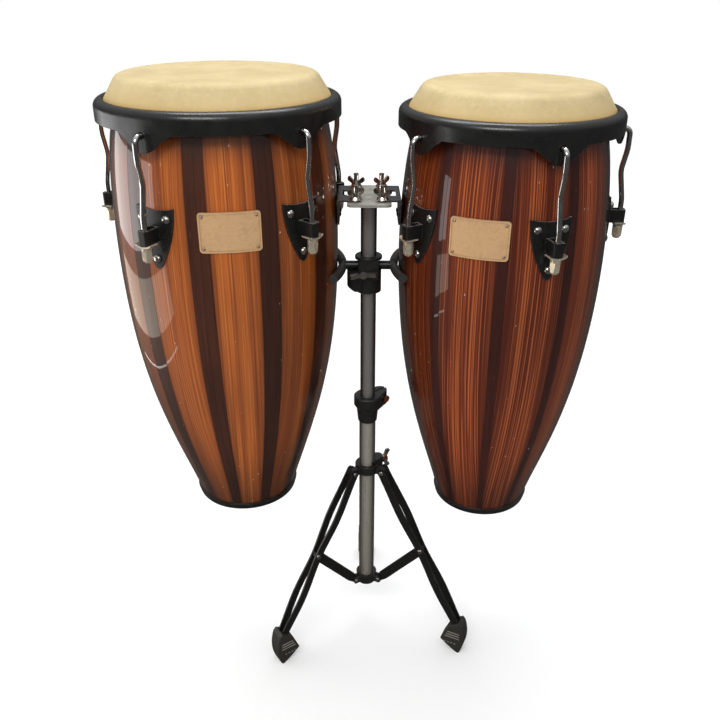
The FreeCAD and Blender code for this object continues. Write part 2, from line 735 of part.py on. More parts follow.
def arm_wing_nut(x, y):
    """Wing nut with a broad round foot, on one stud."""
    seat = TOP_PLATE_Z + TOP_PLATE_THICKNESS + PLATE_THICKNESS + 0.3
    nut = wing(28, 16, 4.0, 6.0, 9).fuse(Part.makeCone(9.5, 7.5, 4.0)).removeSplitter()
    nut = nut.cut(cylinder(STUD_RADIUS + RUNNING_GAP, 60, Vector(0, 0, -10)))
    roll = 35 if x * y > 0 else -25
    return shifted(turned(nut, roll), x, y, seat)


def cast_ear(radius, length, width, z0, z1, azimuth):
    """Casting ear that tapers away from a round body, in the given direction."""
    tip = cylinder(width / 2, z1 - z0, Vector(0, -radius - length, z0))
    outline = [
        Vector(-radius * 0.92, 0, z0), Vector(-width / 2, -radius - length, z0),
        Vector(width / 2, -radius - length, z0), Vector(radius * 0.92, 0, z0)]
    web = polygon_face(outline).extrude(Vector(0, 0, z1 - z0))
    return turned(web.fuse(tip), azimuth)


HEIGHT_CLAMP_AZIMUTH = 132.0
HEIGHT_CLAMP_BOLT_Z = 497.0
HEIGHT_CLAMP_BOLT_RADIUS = 31.0
HEIGHT_CLAMP_SEAT = 12.1       # half the distance between the ear's two spot faces


def height_clamp():
    """Split clamp on the lower tube: taper below, thick collar above with a bolted ear."""
    low, waist, shoulder, high = 461.0, 487.0, 494.0, 511.0
    outline = [
        Vector(0, 0, low), Vector(15.6, 0, low), Vector(16.6, 0, low + 2), Vector(19.0, 0, waist),
        Vector(23.6, 0, shoulder), Vector(23.6, 0, high - 1.5), Vector(22.1, 0, high), Vector(0, 0, high)]
    ear = cast_ear(23.6, 6.0, 24, high - 26, high, HEIGHT_CLAMP_AZIMUTH)
    body = revolved(polygon_face(outline)).fuse(ear).removeSplitter()
    body = body.cut(cylinder(LOWER_TUBE_RADIUS, LOWER_TUBE_TOP - low + 1, Vector(0, 0, low - 1)))
    body = body.cut(cylinder(UPPER_TUBE_RADIUS + 0.08, 60, Vector(0, 0, low)))
    split = turned(box(-1.5, 1.5, -60, 0, waist - 4, high + 1), HEIGHT_CLAMP_AZIMUTH)
    body = body.cut(split.cut(cylinder(15.5, 60, Vector(0, 0, waist - 40))))
    hole_start = Vector(-40, -HEIGHT_CLAMP_BOLT_RADIUS, HEIGHT_CLAMP_BOLT_Z)
    bolt_hole = cylinder(STUD_RADIUS, 80, hole_start, Vector(1, 0, 0))
    for x in (-HEIGHT_CLAMP_SEAT - 20, HEIGHT_CLAMP_SEAT):
        spot_face = Vector(x, -HEIGHT_CLAMP_BOLT_RADIUS, HEIGHT_CLAMP_BOLT_Z)
        bolt_hole = bolt_hole.fuse(cylinder(8.0, 20, spot_face, Vector(1, 0, 0)))
    return body.cut(turned(bolt_hole, HEIGHT_CLAMP_AZIMUTH))


def height_clamp_bolt():
    """Clamp bolt across the split, head towards the front, thread at the back."""
    head_part = cylinder(6.5, 4, Vector(-HEIGHT_CLAMP_SEAT - 4.05, 0, 0), Vector(1, 0, 0))
    stem = cylinder(STUD_RADIUS - 0.05, 48, Vector(-13, 0, 0), Vector(1, 0, 0))
    bolt = head_part.fuse(stem).removeSplitter()
    bolt = shifted(bolt, y=-HEIGHT_CLAMP_BOLT_RADIUS, z=HEIGHT_CLAMP_BOLT_Z)
    return turned(bolt, HEIGHT_CLAMP_AZIMUTH)


def height_clamp_wing_nut():
    nut = wing(36, 18, 4.0, 7.0, 12)
    nut = nut.cut(cylinder(STUD_RADIUS - 0.05 + RUNNING_GAP, 60, Vector(0, 0, -10)))
    place = Vector(HEIGHT_CLAMP_SEAT + 0.1, -HEIGHT_CLAMP_BOLT_RADIUS, HEIGHT_CLAMP_BOLT_Z)
    nut = aimed(nut, place, Vector(1, 0, 0))
    return turned(nut, HEIGHT_CLAMP_AZIMUTH)


COLLAR_WING_AZIMUTH = 122.0
COLLAR_WING_Z = 367.0
COLLAR_WING_SEAT = 32.4        # radius of the wing bolt's seat


def leg_collar():
    """Sliding collar: ring, raised boss for the wing bolt, three pivot ears."""
    pivot_r, pivot_z = COLLAR_PIVOT
    body = cylinder(21.5, 16, Vector(0, 0, 355))
    body = body.makeFillet(1.5, [body.Edges[0]])
    boss = cast_ear(18, 4, 20, 355, 378, COLLAR_WING_AZIMUTH)
    body = body.fuse(boss)
    for azimuth in TRIPOD_AZIMUTHS.values():
        neck = box(-6.2, 6.2, -pivot_r, 0, pivot_z - 5.5, pivot_z + 6)
        eye = cylinder(6, 12.4, Vector(-6.2, -pivot_r, pivot_z), Vector(1, 0, 0))
        body = body.fuse(turned(neck.fuse(eye), azimuth))
    body = body.removeSplitter()
    body = body.cut(cylinder(LOWER_TUBE_RADIUS + 0.08, 60, Vector(0, 0, 340)))
    for azimuth in TRIPOD_AZIMUTHS.values():
        body = body.cut(turned(pivot_bore(pivot_r, pivot_z, 0.0), azimuth))
    wing_hole = cylinder(STUD_RADIUS + RUNNING_GAP, 60, Vector(0, 0, COLLAR_WING_Z), Vector(0, -1, 0))
    return body.cut(turned(wing_hole, COLLAR_WING_AZIMUTH))


def pivot_bore(radius, z, gap):
    return cylinder(PIN_RADIUS + gap, 60, Vector(-30, -radius, z), Vector(1, 0, 0))


def pivot_pin(radius, z, half_length):
    """Pin across a pivot with a domed rivet head at each end."""
    stem = cylinder(PIN_RADIUS, 2 * half_length, Vector(-half_length, -radius, z), Vector(1, 0, 0))
    pin = stem
    for side in (1, -1):
        cap = rivet_head(4.6, 2.2)
        pin = pin.fuse(aimed(cap, Vector(side * half_length, -radius, z), Vector(side, 0, 0)))
    return pin.removeSplitter()


def rivet_head(radius, height):
    squash = FreeCAD.Matrix()
    squash.scale(1, 1, height / radius)
    return Part.makeSphere(radius, ORIGIN, UP, 0, 90, 360).transformGeometry(squash)


def collar_wing_bolt():
    bolt = wing(36, 16, 4.0, 6.5, 9).fuse(cylinder(STUD_RADIUS, 17.5, Vector(0, 0, -17.5))).removeSplitter()
    bolt = aimed(bolt, Vector(0, -COLLAR_WING_SEAT, COLLAR_WING_Z), Vector(0, -1, 0), 90)
    return turned(bolt, COLLAR_WING_AZIMUTH)


def bottom_hub():
    """Casting pressed on the foot of the lower tube, with three forked ears for the braces."""
    pivot_r, pivot_z = HUB_PIVOT
    body = Part.makeCone(17.5, 19.5, 20, Vector(0, 0, 97))
    for azimuth in TRIPOD_AZIMUTHS.values():
        fork = box(-7, 7, -pivot_r, 0, pivot_z - 6, pivot_z + 6)
        fork = fork.fuse(cylinder(6, 14, Vector(-7, -pivot_r, pivot_z), Vector(1, 0, 0)))
        body = body.fuse(turned(fork, azimuth))
    body = body.removeSplitter()
    body = body.cut(cylinder(LOWER_TUBE_RADIUS, 60, Vector(0, 0, LOWER_TUBE_BOTTOM)))
    body = body.cut(cylinder(8, 60, Vector(0, 0, 80)))
    slot_half = STRIP_THICKNESS / 2 + 0.3
    for azimuth in TRIPOD_AZIMUTHS.values():
        slot = box(-slot_half, slot_half, -60, -15.5, pivot_z - 20, pivot_z + 20)
        body = body.cut(turned(slot, azimuth))
        body = body.cut(turned(pivot_bore(pivot_r, pivot_z, 0.0), azimuth))
    return body


# ---- stand: legs, braces, feet ------------------------------------------------------------

LEG_SPAN = math.hypot(LEG_END[0] - COLLAR_PIVOT[0], LEG_END[1] - COLLAR_PIVOT[1])
LEG_TILT = math.degrees(math.atan2(LEG_END[0] - COLLAR_PIVOT[0], COLLAR_PIVOT[1] - LEG_END[1]))


def laid_along_leg(shape):
    """Place a shape drawn with +X down the leg, +Y sideways and +Z outward onto the leg."""
    copy = shape.copy()
    copy.rotate(ORIGIN, Vector(0, 0, 1), -90)          # down the leg becomes -Y
    copy.rotate(ORIGIN, Vector(1, 0, 0), 90)           # and then -Z
    copy.rotate(ORIGIN, Vector(1, 0, 0), -LEG_TILT)
    copy.translate(at_front(COLLAR_PIVOT[0], COLLAR_PIVOT[1]))
    return copy


def leg_strip(side):
    """One of the two edge-on steel strips of a leg, bowed sideways between its joints."""
    mid = LEG_MID_DISTANCE
    stations = (
        (-9.0, 8.0), (16.0, 8.2), (mid * 0.55, 11.8), (mid, 6.2),
        (mid + (LEG_SPAN - mid) * 0.5, 11.2), (LEG_SPAN - 6, 6.4), (LEG_SPAN + 14, 6.0))
    edges = []
    ends = []
    for half in (-STRIP_THICKNESS / 2, STRIP_THICKNESS / 2):
        points = [Vector(s, side * (y + half), 0) for s, y in stations]
        edges.append(spline(points, Vector(1, 0, 0), Vector(1, 0, 0)).toShape())
        ends.append((points[0], points[-1]))
    for k in (0, 1):
        edges.append(Part.LineSegment(ends[0][k], ends[1][k]).toShape())
    strip = face_of(edges).extrude(Vector(0, 0, STRIP_DEPTH))
    strip = shifted(strip, z=-STRIP_DEPTH / 2)
    half_depth = STRIP_DEPTH / 2
    outline = box(-3, LEG_SPAN + 20, -30, 30, -half_depth, half_depth)
    outline = outline.fuse(cylinder(half_depth, 60, Vector(-3, -30, 0), Vector(0, 1, 0)))
    strip = strip.common(outline)
    return strip.cut(cylinder(PIN_RADIUS + RUNNING_GAP, 60, Vector(0, -30, 0), Vector(0, 1, 0)))


def mid_rivet(side):
    """Rivet stub on a leg strip at the brace: head outside, spacer boss inside."""
    mid = LEG_MID_DISTANCE
    inside = STRIP_THICKNESS / 2 + 0.7
    boss = cylinder(4.5, 6.2 - STRIP_THICKNESS / 2 - inside, Vector(0, 0, inside))
    cap = shifted(rivet_head(4.8, 2.4), z=6.2 + STRIP_THICKNESS / 2)
    stub = cylinder(PIN_RADIUS, 8.2, Vector(0, 0, inside)).fuse(boss).fuse(cap).removeSplitter()
    return aimed(stub, Vector(mid, 0, 0), Vector(0, side, 0))


def leg():
    """Two strips and the rivets that join them to the brace and to each other at the foot."""
    solids = []
    for side in (1, -1):
        rivet = mid_rivet(side)
        hole = cylinder(PIN_RADIUS, 30, Vector(LEG_MID_DISTANCE, 0, 0), Vector(0, side, 0))
        strip = leg_strip(side).cut(hole)
        solids += [strip, rivet]
    return [laid_along_leg(solid) for solid in solids]


def foot():
    """Moulded rubber boot: wedge with a slanting sole and a small flat at its outer tip."""
    edges = [
        Part.LineSegment(at_front(177, 57), at_front(163, 22)).toShape(),
        arc(at_front(163, 22), at_front(177, 11.0), at_front(194, 0)),
        Part.LineSegment(at_front(194, 0), at_front(202, 0)).toShape(),
        arc(at_front(202, 0), at_front(208.5, 35), at_front(203.5, 65)),
        Part.LineSegment(at_front(203.5, 65), at_front(198, 71)).toShape(),
        Part.LineSegment(at_front(198, 71), at_front(177, 57)).toShape()]
    body = face_of(edges).extrude(Vector(FOOT_WIDTH, 0, 0))
    body = shifted(body, x=-FOOT_WIDTH / 2)
    rounded = []
    for edge in body.Edges:
        middle = edge.CenterOfMass
        if abs(abs(middle.x) - FOOT_WIDTH / 2) < 1e-6 and middle.z > 5:
            rounded.append(edge)
    body = body.makeFillet(2.5, rounded)
    half = STRIP_DEPTH / 2 + 0.2
    pocket = box(LEG_SPAN - 6, LEG_SPAN + 14.5, -8.2, 8.2, -half, half)
    pocket = pocket.fuse(box(LEG_SPAN - 18, LEG_SPAN - 5, -10, 10, -half, half))
    return body.cut(laid_along_leg(pocket))


def brace():
    """Edge-on strip between the hub and the middle of a leg."""
    hub_r, hub_z = HUB_PIVOT
    tilt = math.radians(LEG_TILT)
    mid_r = COLLAR_PIVOT[0] + LEG_MID_DISTANCE * math.sin(tilt)
    mid_z = COLLAR_PIVOT[1] - LEG_MID_DISTANCE * math.cos(tilt)
    run = mid_r - hub_r
    rise = mid_z - hub_z
    length = math.hypot(run, rise)
    half = STRIP_THICKNESS / 2
    end = 6.0
    outline = [
        Vector(0, -end, 0), Vector(14, -BRACE_DEPTH / 2, 0), Vector(length - 14, -BRACE_DEPTH / 2, 0),
        Vector(length, -end, 0), Vector(length, end, 0), Vector(length - 14, BRACE_DEPTH / 2, 0),
        Vector(14, BRACE_DEPTH / 2, 0), Vector(0, end, 0)]
    strip = polygon_face(outline).extrude(Vector(0, 0, 2 * half))
    for x in (0, length):
        strip = strip.fuse(cylinder(end, 2 * half, Vector(x, 0, 0)))
    strip = shifted(strip.removeSplitter(), z=-half)
    strip = strip.cut(cylinder(PIN_RADIUS + RUNNING_GAP, 20, Vector(0, 0, -10)))
    frame = FreeCAD.Matrix(
        0, 0, 1, 0,
        -run / length, -rise / length, 0, -hub_r,
        rise / length, -run / length, 0, hub_z,
        0, 0, 0, 1)
    placed = strip.copy()
    placed.Placement = FreeCAD.Placement(frame)
    return placed


# ---- stand: cradle ------------------------------------------------------------------------

CRADLE_WING_X = -8.0
CRADLE_WING_Z = 741.0
CRADLE_WING_SEAT = 20.6         # radius of the wing bolt's seat in front of the tube's axis


def cradle_block():
    """Block on the upper tube: flange on top, cross bore for both rods, clamp casting below."""
    flange = cylinder(21.7, 5.5, Vector(0, 0, 760))
    flange = flange.makeFillet(1.5, [flange.Edges[0], flange.Edges[2]])
    cheeks = box(-17, 17, -20, 17, 730, 761)
    uprights = [e for e in cheeks.Edges if abs(e.tangentAt(e.FirstParameter).z) > 0.9]
    cheeks = cheeks.makeFillet(3.0, uprights)
    casting = cylinder(20.5, 36, Vector(0, 0, 706))
    lobe = cast_ear(18.5, 4.0, 24, 708, 742, -82)
    chamfer = box(-60, 60, -60, 60, -40, 0)
    chamfer.rotate(ORIGIN, Vector(0, 1, 0), 32)
    chamfer.translate(Vector(-14, 0, 703))
    lobe = lobe.cut(chamfer)
    block = flange.fuse(cheeks).fuse(casting).fuse(lobe).removeSplitter()
    block = block.cut(cylinder(UPPER_TUBE_RADIUS + RUNNING_GAP, 120, Vector(0, 0, 680)))
    rods = cylinder(CRADLE_ROD_RADIUS + RUNNING_GAP, 200, Vector(-100, 0, CRADLE_Z), Vector(1, 0, 0))
    block = block.cut(rods)
    wing_hole = cylinder(
        STUD_RADIUS + RUNNING_GAP, 30, Vector(CRADLE_WING_X, -13, CRADLE_WING_Z), Vector(0, -1, 0))
    return block.cut(wing_hole)


def cradle_wing_bolt():
    bolt = wing(43, 15, 6.5, 6.0, 9).fuse(cylinder(STUD_RADIUS, 7, Vector(0, 0, -7))).removeSplitter()
    return aimed(bolt, Vector(CRADLE_WING_X, -CRADLE_WING_SEAT, CRADLE_WING_Z), Vector(0, -1, 0), 5)


def cradle_centre_radius(shell):
    return shell.radius(CRADLE_Z) + GRIP_GAP + GRIP_RADIUS


def arc_bar(bar_radius, centre_radius, start, sweep):
    """Round bar bent to an arc about Z, starting at an azimuth."""
    circle = Part.Circle(Vector(centre_radius, 0, CRADLE_Z), Vector(0, 1, 0), bar_radius).toShape()
    return revolved(Part.Face(Part.Wire(circle)), start - 90, sweep)


def cradle(shell):
    """Rod in the block with a bent bar at its end that follows the shell."""
    drum = shell.drum
    side = -drum["arm_side"]
    centre_radius = cradle_centre_radius(shell)
    facing = 90 * drum["arm_side"]
    bar = arc_bar(CRADLE_ARC_RADIUS, centre_radius, facing - 20.5, 41)
    bar = shifted(bar, x=drum["x"])
    crown_x = abs(drum["x"]) - centre_radius
    rod = cylinder(
        CRADLE_ROD_RADIUS, crown_x - UPPER_TUBE_RADIUS - 0.3,
        Vector(side * (UPPER_TUBE_RADIUS + 0.3), 0, CRADLE_Z), Vector(side, 0, 0))
    return rod.fuse(bar).removeSplitter()


def cradle_grips(shell):
    """Two rubber sleeves on the bent bar, each closed at its tip."""
    drum = shell.drum
    centre_radius = cradle_centre_radius(shell)
    facing = 90 * drum["arm_side"]
    grips = []
    for sign in (1, -1):
        start = facing + (3.2 if sign > 0 else -22.2)
        sleeve = arc_bar(GRIP_RADIUS, centre_radius, start, 19.0)
        bore_start = facing + (2.0 if sign > 0 else -20.6)
        sleeve = sleeve.cut(arc_bar(CRADLE_ARC_RADIUS + 0.05, centre_radius, bore_start, 18.6))
        grips.append(shifted(sleeve, x=drum["x"]))
    rod = cylinder(CRADLE_ROD_RADIUS + 0.3, 60, Vector(0, 0, CRADLE_Z), Vector(-drum["arm_side"], 0, 0))
    return [grip.cut(rod) for grip in grips]


# ---- build --------------------------------------------------------------------------------

def build_stand(shells):
    save("lower_tube", lower_tube())
    save("upper_tube", upper_tube())
    save("top_plate", top_plate())
    studs = []
    number = 0
    for x in (-STUD_X, STUD_X):
        for y in (-STUD_Y, STUD_Y):
            number += 1
            studs.append(stud(x, y))
            save("arm_wing_nut_" + str(number), arm_wing_nut(x, y))
    save("arm_studs", studs)
    save("height_clamp", [height_clamp(), height_clamp_bolt()])
    save("height_clamp_wing_nut", height_clamp_wing_nut())
    collar_pins = []
    hub_pins = []
    for name, azimuth in TRIPOD_AZIMUTHS.items():
        collar_pins.append(turned(pivot_pin(COLLAR_PIVOT[0], COLLAR_PIVOT[1], 9.8), azimuth))
        hub_pins.append(turned(pivot_pin(HUB_PIVOT[0], HUB_PIVOT[1], 7.05), azimuth))
        save("leg_" + name, [turned(solid, azimuth) for solid in leg()])
        save("foot_" + name, turned(foot(), azimuth))
        save("brace_" + name, turned(brace(), azimuth))
    save("leg_collar", [leg_collar()] + collar_pins)
    save("collar_wing_bolt", collar_wing_bolt())
    save("bottom_hub", [bottom_hub()] + hub_pins)
    save("cradle_block", cradle_block())
    save("cradle_wing_bolt", cradle_wing_bolt())
    for name, shell in shells.items():
        save("cradle_" + name, cradle(shell))
        save("cradle_grips_" + name, cradle_grips(shell))


os.makedirs("parts", exist_ok=True)
build_stand({name: build_drum(name) for name in DRUMS})
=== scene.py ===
import json
import math
import random

import bmesh
import bpy
import numpy as np
from mathutils import Matrix, Vector


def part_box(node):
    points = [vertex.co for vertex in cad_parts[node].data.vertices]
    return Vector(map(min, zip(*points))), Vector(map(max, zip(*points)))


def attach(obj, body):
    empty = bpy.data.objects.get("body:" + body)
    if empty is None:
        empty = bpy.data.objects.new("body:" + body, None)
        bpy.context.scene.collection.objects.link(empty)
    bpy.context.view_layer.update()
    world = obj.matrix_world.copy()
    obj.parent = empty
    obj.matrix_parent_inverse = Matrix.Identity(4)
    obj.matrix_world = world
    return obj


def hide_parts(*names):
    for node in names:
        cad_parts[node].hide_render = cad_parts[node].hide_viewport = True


# A pair of conga drums on one folding tripod stand. Metres, +Z up, origin on the floor under
# the stand's tube, -Y towards the viewer. Azimuth 0 is the front (-Y) and grows towards +X.

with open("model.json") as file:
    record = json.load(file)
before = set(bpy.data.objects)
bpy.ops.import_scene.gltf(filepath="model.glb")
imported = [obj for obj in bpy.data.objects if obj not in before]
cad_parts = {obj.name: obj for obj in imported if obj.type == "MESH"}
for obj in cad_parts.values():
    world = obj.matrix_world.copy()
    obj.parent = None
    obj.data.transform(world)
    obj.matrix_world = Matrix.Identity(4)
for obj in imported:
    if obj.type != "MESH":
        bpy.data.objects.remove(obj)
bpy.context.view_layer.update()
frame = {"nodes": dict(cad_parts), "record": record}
rng = random.Random(11)

MM = 0.001

# ---- sizes shared by both drums, and each drum's own ---------------------------------------

STAVE_THICKNESS = 11.0 * MM
SEAM_WIDTH = 0.35 * MM         # bevel along each edge of a stave
SEAM_DEPTH = 0.3 * MM
SHELL_ROWS = 90
SHELL_FOOT_GAP = 3 * MM        # staves start this far above the bottom of the base ring
SHELL_CREST_DEPTH = 12 * MM    # and end this far below the playing surface
SHADE_TOP_DEPTH = 62 * MM       # solid painted shadow under the rim down to here, below the playing surface
SHADE_TOP_LENGTH = 44 * MM
SHADE_FOOT_LENGTH = 150 * MM
RIM_TOP_DEPTH = 31.0 * MM      # the rim's crown below the playing surface
HEAD_THICKNESS = 1.8 * MM
HEAD_SEGMENTS = 240
TUCK_WIDTH = 6.2 * MM          # skin folded out around the flesh hoop

DRUMS = {
    "left": dict(pairs=11, dark_angle=10.2, dark_phase=-5.0),
    "right": dict(pairs=10, dark_angle=5.8, dark_phase=-8.0),
}

for drum_name, drum in DRUMS.items():
    low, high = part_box(drum_name + "_head")
    drum["x"] = (low.x + high.x) / 2
    drum["top"] = high.z
    drum["tuck"] = (high.x - low.x) / 2
    drum["bottom"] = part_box(drum_name + "_base_ring")[0].z
    drum["rim"] = max((v.co.xy - Vector((drum["x"], 0))).length
                      for v in frame["nodes"][drum_name + "_rim"].data.vertices)


def direction(azimuth):
    a = math.radians(azimuth)
    return Vector((math.sin(a), -math.cos(a), 0.0))


# ---- node materials ------------------------------------------------------------------------

class Paint:
    """A node material under construction: small helpers that add and link nodes."""

    def __init__(self, name):
        self.material = bpy.data.materials.new(name)
        self.material.use_nodes = True
        self.tree = self.material.node_tree
        self.shader = self.tree.nodes["Principled BSDF"]

    def feed(self, socket, value):
        """Link an output to a socket, or set the socket's own value."""
        if isinstance(value, bpy.types.NodeSocket):
            self.tree.links.new(value, socket)
        elif isinstance(value, (tuple, list)) and socket.type == "RGBA" and len(value) == 3:
            socket.default_value = (*value, 1.0)
        else:
            socket.default_value = value

    def add(self, kind, settings=None, **inputs):
        """New node. An input is given by its name, or by its index as i0, i1 and so on."""
        node = self.tree.nodes.new(kind)
        for key, value in (settings or {}).items():
            setattr(node, key, value)
        for key, value in inputs.items():
            index = int(key[1:]) if key[0] == "i" and key[1:].isdigit() else key.replace("_", " ")
            self.feed(node.inputs[index], value)
        return node

    def math(self, operation, a, b=0.0, clamp=False):
        node = self.add("ShaderNodeMath", dict(operation=operation, use_clamp=clamp), i0=a, i1=b)
        return node.outputs[0]

    def mix(self, factor, a, b, blend="MIX"):
        node = self.add("ShaderNodeMix", dict(data_type="RGBA", blend_type=blend), i0=factor, i6=a, i7=b)
        return node.outputs[2]

    def spread(self, value, low, high, out_low=0.0, out_high=1.0, smooth=True):
        """Remap low..high to out_low..out_high, with soft ends unless smooth is off."""
        settings = dict(interpolation_type="SMOOTHSTEP" if smooth else "LINEAR")
        node = self.add("ShaderNodeMapRange", settings,
                        i0=value, i1=low, i2=high, i3=out_low, i4=out_high)
        return node.outputs[0]

    def place(self, scale=(1, 1, 1)):
        """Object coordinates, in metres, stretched by scale."""
        coordinates = self.add("ShaderNodeTexCoord").outputs["Object"]
        return self.add("ShaderNodeMapping", i0=coordinates, i3=scale).outputs[0]

    def noise(self, vector, scale, detail=3.0, roughness=0.55, distortion=0.0):
        node = self.add("ShaderNodeTexNoise", Vector=vector, Scale=scale, Detail=detail,
                        Roughness=roughness, Distortion=distortion)
        return node.outputs["Fac"]

    def attribute(self, name):
        return self.add("ShaderNodeAttribute", dict(attribute_name=name)).outputs["Fac"]

    def bump(self, height, strength, distance, normal=None):
        node = self.add("ShaderNodeBump", Height=height, Strength=strength, Distance=distance)
        if normal is not None:
            self.feed(node.inputs["Normal"], normal)
        return node.outputs["Normal"]

    def edge_mask(self, radius, low=0.02, high=0.25):
        """Near 1 on sharp outer and inner edges, 0 on flat stretches."""
        rounded = self.add("ShaderNodeBevel", dict(samples=4), Radius=radius).outputs[0]
        plain = self.add("ShaderNodeNewGeometry").outputs["Normal"]
        dot = self.add("ShaderNodeVectorMath", dict(operation="DOT_PRODUCT"), i0=rounded, i1=plain)
        return self.spread(self.math("SUBTRACT", 1.0, dot.outputs["Value"]), low, high)

    def finish(self, **values):
        """Set the shader's inputs and return the finished material."""
        for key, value in values.items():
            self.feed(self.shader.inputs[key.replace("_", " ")], value)
        return self.material


def black_steel(name, tone=0.018, roughness=0.36, grain=1500.0, wear=0.25, lit_edges=0.0):
    """Satin powder coat: fine orange peel, cloudy sheen, dust, lighter worn edges, and with lit_edges a
    painted highlight along the upward-facing edges.
    """
    p = Paint(name)
    here = p.place()
    cloud = p.noise(here, 45.0)
    peel = p.noise(here, grain, 2.0)
    dust = p.spread(p.noise(here, 420.0, 4.0, 0.7), 0.66, 0.82)
    worn = p.math("MULTIPLY", p.edge_mask(1.2 * MM), p.spread(p.noise(here, 140.0), 0.35, 0.65))
    base = p.mix(cloud, (tone * 0.75,) * 3, (tone * 1.35, tone * 1.3, tone * 1.22))
    base = p.mix(p.math("MULTIPLY", dust, 0.25), base, (0.12, 0.115, 0.10))
    base = p.mix(p.math("MULTIPLY", worn, wear), base, (0.34, 0.33, 0.31))
    # painted highlight: edges that face upwards lightened as if caught by the light from above
    if lit_edges:
        normal = p.add("ShaderNodeNewGeometry").outputs["Normal"]
        up = p.add("ShaderNodeSeparateXYZ", Vector=normal).outputs["Z"]
        upper = p.math("MULTIPLY", p.edge_mask(1.6 * MM, 0.01, 0.12), p.spread(up, 0.25, 0.7))
        base = p.mix(p.math("MULTIPLY", upper, lit_edges), base, (0.62, 0.58, 0.50))
    rough = p.spread(cloud, 0.2, 0.8, roughness - 0.06, roughness + 0.08)
    return p.finish(Base_Color=base, Roughness=rough, Specular_IOR_Level=0.55,
                    Normal=p.bump(peel, 0.18, 0.2 * MM))


def plated(name, colour, roughness=0.12, grime=0.35, edge=0.9 * MM, metal=1.0):
    """Bright plating: slight tint changes, fine scratches, brown grime where it is rubbed least."""
    p = Paint(name)
    here = p.place()
    cloud = p.noise(here, 60.0, 4.0)
    scratch = p.noise(p.place((900, 900, 60)), 1.0, 3.0, 0.7)
    dirt = p.spread(p.noise(here, 260.0, 5.0, 0.7), 0.55, 0.8)
    dark = tuple(c * 0.72 for c in colour)
    base = p.mix(cloud, dark, colour)
    base = p.mix(p.math("MULTIPLY", dirt, grime), base, (0.23, 0.17, 0.10))
    base = p.mix(p.math("MULTIPLY", p.edge_mask(edge), 0.5), base, (0.95, 0.93, 0.89))
    rough = p.math("ADD", p.spread(cloud, 0.3, 0.7, roughness * 0.7, roughness * 1.4),
                   p.math("MULTIPLY", dirt, 0.25))
    return p.finish(Base_Color=base, Metallic=metal, Roughness=rough,
                    Normal=p.bump(scratch, 0.08, 0.1 * MM))


def tube_metal(name, colour, roughness, metal, silhouette_reflection_tone):
    """Drawn and plated tube: long soft streaks, rubbed spots, and a painted dark reflection towards its
    silhouette.
    """
    p = Paint(name)
    streaks = p.noise(p.place((300, 300, 7)), 1.0, 4.0, 0.6)
    spots = p.spread(p.noise(p.place(), 330.0, 4.0, 0.7), 0.62, 0.8)
    base = p.mix(p.math("MULTIPLY", streaks, 0.4), colour, tuple(c * 0.45 for c in colour))
    base = p.mix(p.math("MULTIPLY", spots, 0.4), base, (0.12, 0.10, 0.08))
    # painted dark reflection: the colour darkens towards the silhouette as if mirroring a dark room
    turn = p.add("ShaderNodeLayerWeight", Blend=0.5).outputs["Facing"]
    base = p.mix(p.spread(turn, 0.08, 0.55), base, tuple(c * silhouette_reflection_tone for c in colour))
    rough = p.spread(streaks, 0.25, 0.75, roughness * 0.8, roughness * 1.3)
    return p.finish(Base_Color=base, Metallic=metal, Roughness=rough,
                    Normal=p.bump(streaks, 0.03, 0.1 * MM))


def rubber(name, tone=(0.030, 0.028, 0.025)):
    """Moulded rubber: matt, pebbled, dusty on edges."""
    p = Paint(name)
    here = p.place()
    pebble = p.noise(here, 900.0, 3.0)
    cloud = p.noise(here, 70.0, 4.0)
    dusty = p.math("MULTIPLY", p.edge_mask(1.5 * MM, 0.01, 0.2), p.spread(cloud, 0.3, 0.7))
    base = p.mix(cloud, tuple(c * 0.7 for c in tone), tuple(c * 1.5 for c in tone))
    base = p.mix(p.math("MULTIPLY", dusty, 0.4), base, (0.16, 0.145, 0.12))
    return p.finish(Base_Color=base, Roughness=p.spread(pebble, 0.2, 0.8, 0.5, 0.72),
                    Normal=p.bump(pebble, 0.35, 0.25 * MM))


def rawhide(name):
    """Natural skin: mottled cream and tan, yellower towards the rim, pores and fine wrinkles."""
    p = Paint(name)
    here = p.place()
    down = p.attribute("down")
    clouds = p.noise(here, 16.0, 4.0, 0.6)
    mottle = p.noise(here, 130.0, 5.0, 0.7)
    pores = p.noise(here, 1000.0, 3.0, 0.7)
    fibres = p.noise(p.place((70, 900, 900)), 1.0, 3.0, 0.65)
    base = p.mix(p.spread(clouds, 0.3, 0.7), (0.46, 0.36, 0.18), (0.55, 0.44, 0.235))
    base = p.mix(p.math("MULTIPLY", p.spread(mottle, 0.45, 0.75), 0.42), base, (0.68, 0.56, 0.35))
    base = p.mix(p.math("MULTIPLY", p.spread(pores, 0.54, 0.70), 0.5), base, (0.30, 0.21, 0.10))
    skirt = p.spread(down, 0.15, 1.0)
    base = p.mix(p.math("MULTIPLY", skirt, 0.45), base, (0.52, 0.36, 0.14))
    base = p.mix(p.math("MULTIPLY", p.spread(down, 0.82, 1.0), 0.55), base, (0.45, 0.28, 0.08))
    height = p.math("ADD", p.math("MULTIPLY", mottle, 0.7), p.math("MULTIPLY", fibres, 0.5))
    bump = p.bump(pores, 0.35, 0.3 * MM, p.bump(height, 0.3, 0.6 * MM))
    return p.finish(Base_Color=base, Roughness=p.spread(mottle, 0.3, 0.7, 0.52, 0.7),
                    Specular_IOR_Level=0.35, Subsurface_Weight=0.08,
                    Subsurface_Radius=(0.003, 0.002, 0.001), Normal=bump)


